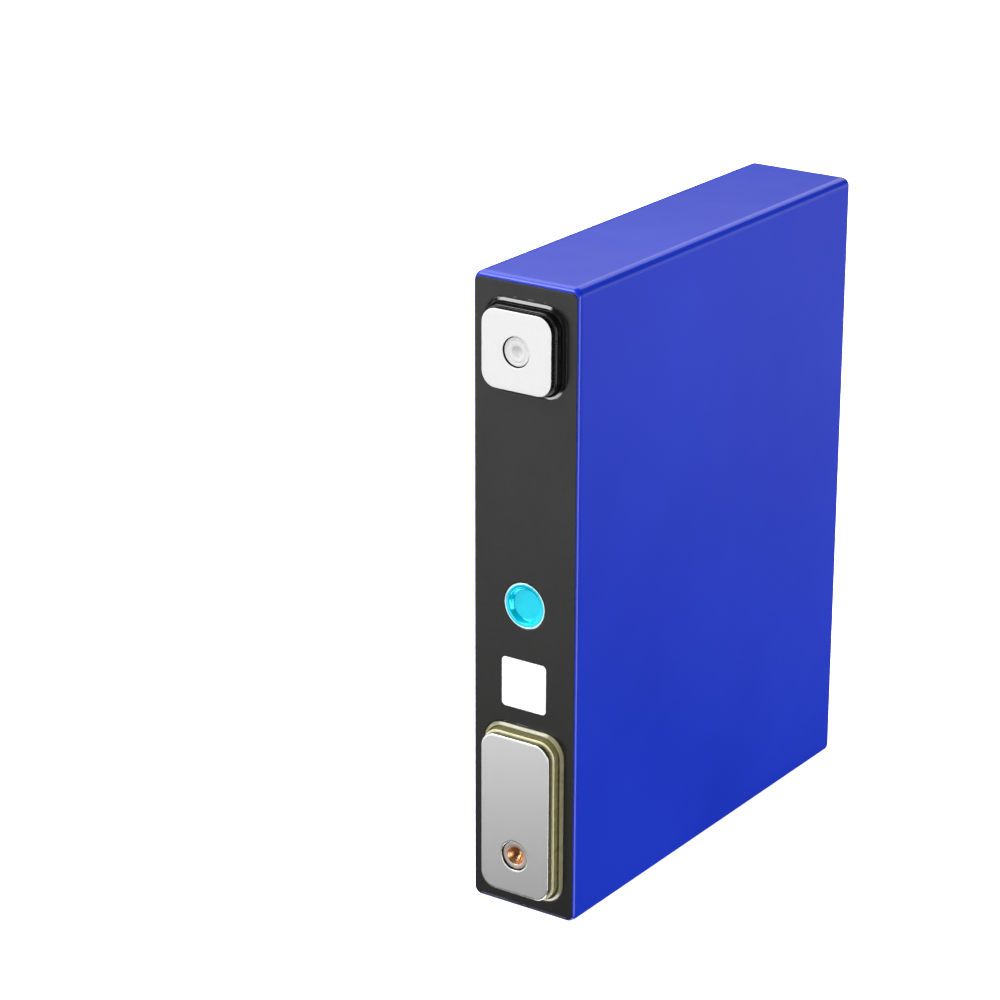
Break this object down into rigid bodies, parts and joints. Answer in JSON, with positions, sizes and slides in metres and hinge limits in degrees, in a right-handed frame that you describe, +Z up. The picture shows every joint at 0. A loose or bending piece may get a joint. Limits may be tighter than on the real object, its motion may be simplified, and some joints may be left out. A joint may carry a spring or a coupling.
{
  "type": "prismatic battery cell",
  "caption": "Flat rectangular sealed battery cell in a film-wrapped metal can, with raised terminal pads and a pressure vent on one narrow face; stores and delivers direct current.",
  "frame": {"origin": "centre of the footprint of the whole cell, on the lower narrow side that it stands on", "axes": "+X through the thickness; +Y from the terminals to the floor of the can; +Z up the cell's width, from the negative terminal to the positive one"},
  "size_m": [0.0276, 0.1204, 0.1488],
  "materials": {
    "blue_film": "gloss",
    "can_aluminium": "satin",
    "cap_aluminium": "satin",
    "black_sheet": "matte",
    "white_label": "matte",
    "vent_film_cyan": "gloss",
    "vent_foil": "satin",
    "positive_plate_metal": "satin",
    "negative_plate_metal": "satin",
    "pole_aluminium": "satin",
    "copper": "satin",
    "black_seat_plastic": "gloss",
    "champagne_seat_plastic": "gloss",
    "seal_rubber": "matte",
    "inner_plastic": "matte",
    "clear_bag": "satin",
    "cathode_coating": "matte",
    "anode_coating": "matte",
    "separator_film": "matte",
    "end_tape": "satin"
  },
  "bodies": {
    "root": {"bottom_support_tray": "inner_plastic", "can": "can_aluminium", "cap_plate": "cap_aluminium", "code_label": "white_label", "fill_port_cap": "cap_aluminium", "fill_port_plug": "seal_rubber", "insulating_bag": "clear_bag", "left_anode_winding": "anode_coating", "left_cathode_winding": "cathode_coating", "left_inner_separator": "separator_film", "left_outer_separator": "separator_film", "left_winding_end_tape": "end_tape", "negative_current_collector": "copper", "negative_lower_insulator": "inner_plastic", "negative_pole": "copper", "negative_seal_ring": "seal_rubber", "negative_tabs_left": "copper", "negative_tabs_right": "copper", "negative_terminal_plate": "negative_plate_metal", "negative_upper_insulator": "champagne_seat_plastic", "positive_current_collector": "pole_aluminium", "positive_lower_insulator": "inner_plastic", "positive_pole": "pole_aluminium", "positive_seal_ring": "seal_rubber", "positive_tabs_left": "pole_aluminium", "positive_tabs_right": "pole_aluminium", "positive_terminal_plate": "positive_plate_metal", "positive_upper_insulator": "black_seat_plastic", "right_anode_winding": "anode_coating", "right_cathode_winding": "cathode_coating", "right_inner_separator": "separator_film", "right_outer_separator": "separator_film", "right_winding_end_tape": "end_tape", "top_insulating_sheet": "black_sheet", "vent_protective_film": "vent_film_cyan", "vent_rupture_disc": "vent_foil", "wrap_film": "blue_film"}
  },
  "joints": []
}
